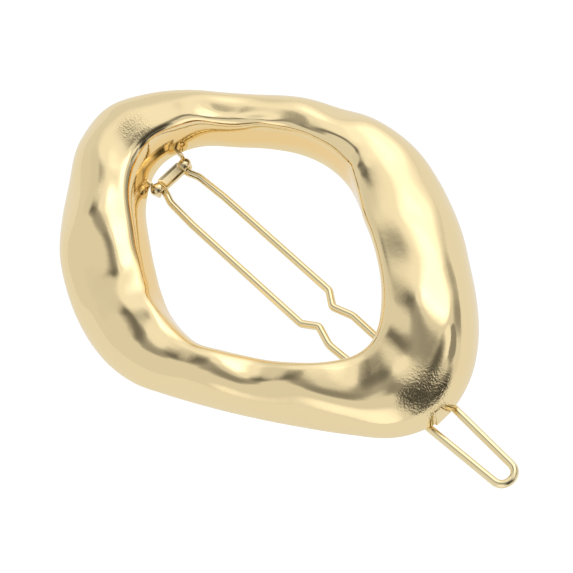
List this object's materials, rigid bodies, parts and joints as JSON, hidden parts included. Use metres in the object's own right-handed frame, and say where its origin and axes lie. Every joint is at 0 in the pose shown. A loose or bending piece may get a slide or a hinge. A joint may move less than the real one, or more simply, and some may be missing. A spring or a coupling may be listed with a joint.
{
  "type": "hair clip",
  "caption": "Hair clip: an irregular hammered gold ring frame with a hairpin wire clasp that swings on a bracket inside the ring and snaps over a catch at the opposite rim.",
  "frame": {"origin": "on the surface the clip lies on, back down, under the middle of its bounding box", "axes": "+X along the wire clasp from its hinge to its finger tab, +Y across it along the hinge axis, +Z out of the decorated front"},
  "size_m": [0.081, 0.0502, 0.0097],
  "materials": {
    "ring_gold": "cast, softly hammered, polished and plated pale champagne gold",
    "bracket_gold": "stamped and plated gold, polished",
    "catch_gold": "plated gold, polished",
    "wire_gold": "drawn spring wire, plated gold"
  },
  "bodies": {
    "frame": {"ring_frame": "ring_gold", "hinge_bracket": "bracket_gold", "snap_catch": "catch_gold"},
    "clasp": {"wire_clasp": "wire_gold"}
  },
  "joints": [
    {"name": "clasp_swing", "type": "hinge", "parent": "frame", "child": "clasp", "pos_m": [-0.02644, -0.00025, 0.0011], "axis": [0, 1, 0], "range_deg": [0, 120]}
  ]
}
